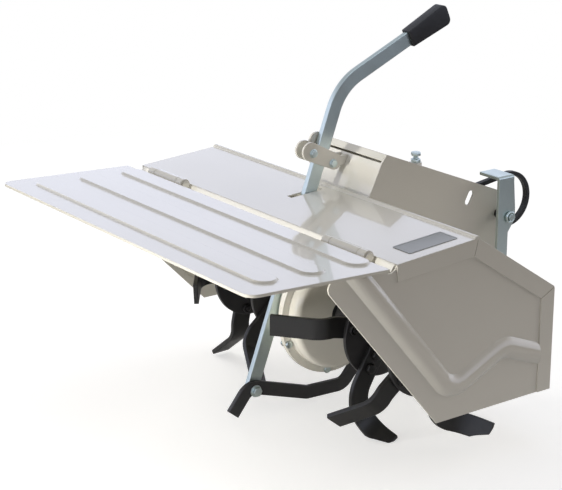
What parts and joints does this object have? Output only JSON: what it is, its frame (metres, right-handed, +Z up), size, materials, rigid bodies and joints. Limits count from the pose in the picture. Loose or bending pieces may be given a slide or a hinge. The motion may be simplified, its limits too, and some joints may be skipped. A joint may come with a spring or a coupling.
{
  "type": "rotary tiller attachment",
  "caption": "Rotary tiller attachment with folded hood, hinged rear flap, bent tines on a chain-driven rotor, depth lever with skid, hitch arm and front stand.",
  "frame": {"origin": "middle of the underside of the part's box, on the floor it stands on", "axes": "+X along the rotor to the right seen from behind, +Y forward to the tractor, +Z up"},
  "size_m": [0.619, 0.6944, 0.5639],
  "materials": {
    "cream_paint": "glossy cream-white enamel",
    "zinc": "bright zinc plating",
    "black_paint": "satin black paint",
    "black_tine": "semi-gloss black dip paint on forged steel",
    "machined_steel": "oiled bare steel",
    "seal_rubber": "black rubber",
    "belt_rubber": "matt black belt rubber",
    "grip_plastic": "moulded black plastic, fine grain",
    "plain_plate": "plain grey satin plate"
  },
  "bodies": {
    "frame": {"arm_cover": "cream_paint", "case_bolts": "zinc", "chain_case_left": "cream_paint", "chain_case_right": "cream_paint", "clamp_bolt": "zinc", "drive_belt": "belt_rubber", "drive_chain": "machined_steel", "front_stand": "zinc", "guide_bolts": "zinc", "guide_spacers": "zinc", "hinge_hood_leaf_left": "cream_paint", "hinge_hood_leaf_right": "cream_paint", "hinge_pins": "cream_paint", "hitch_arm": "cream_paint", "hood": "cream_paint", "input_bearings": "machined_steel", "lever_guide_left": "cream_paint", "lever_guide_right": "cream_paint", "name_plate": "plain_plate", "rotor_bearings": "machined_steel", "rotor_seals": "seal_rubber", "side_plate_left": "cream_paint", "side_plate_right": "cream_paint", "skid_pivot_bolt": "zinc", "stand_bolt": "zinc", "stand_bushes": "black_paint", "stand_clip": "zinc", "stand_pin": "zinc"},
    "flap": {"rear_flap": "cream_paint", "hinge_flap_leaf_right": "cream_paint", "hinge_flap_leaf_left": "cream_paint"},
    "rotor": {"rotor_shaft": "machined_steel", "rotor_right": "black_paint", "rotor_left": "black_paint", "rotor_sprocket": "machined_steel", "tine_bolts": "black_tine", "tines_left_inner_inboard": "black_tine", "tines_left_inner_outboard": "black_tine", "tines_left_outer_inboard": "black_tine", "tines_left_outer_outboard": "black_tine", "tines_right_inner_inboard": "black_tine", "tines_right_inner_outboard": "black_tine", "tines_right_outer_inboard": "black_tine", "tines_right_outer_outboard": "black_tine"},
    "input": {"jackshaft": "machined_steel", "input_sprocket": "machined_steel", "drive_pulley": "black_paint"},
    "skid": {"skid_arm": "black_paint", "lever_foot_bolt": "zinc"},
    "lever": {"depth_lever": "zinc", "lever_grip": "grip_plastic"}
  },
  "joints": [
    {"name": "flap_hinge", "type": "hinge", "parent": "frame", "child": "flap", "pos_m": [0, -0.12426, 0.31486], "axis": [-1, 0, 0], "range_deg": [0, 110]},
    {"name": "rotor_spin", "type": "hinge", "parent": "frame", "child": "rotor", "pos_m": [0, 0.00674, 0.14956], "axis": [1, 0, 0], "continuous": true},
    {"name": "input_spin", "type": "hinge", "parent": "frame", "child": "input", "pos_m": [0, 0.14252, 0.28534], "axis": [1, 0, 0], "continuous": true},
    {"name": "skid_swing", "type": "hinge", "parent": "frame", "child": "skid", "pos_m": [0, 0.08774, 0.06856], "axis": [-1, 0, 0], "range_deg": [0, 18]},
    {"name": "lever_pivot", "type": "hinge", "parent": "skid", "child": "lever", "pos_m": [0, -0.11726, 0.04556], "axis": [-1, 0, 0], "range_deg": [-14.04, 0]}
  ],
  "couplings": [
    {"joint": "input_spin", "follows": "rotor_spin", "ratio": 2},
    {"joint": "lever_pivot", "follows": "skid_swing", "ratio": -0.78}
  ]
}
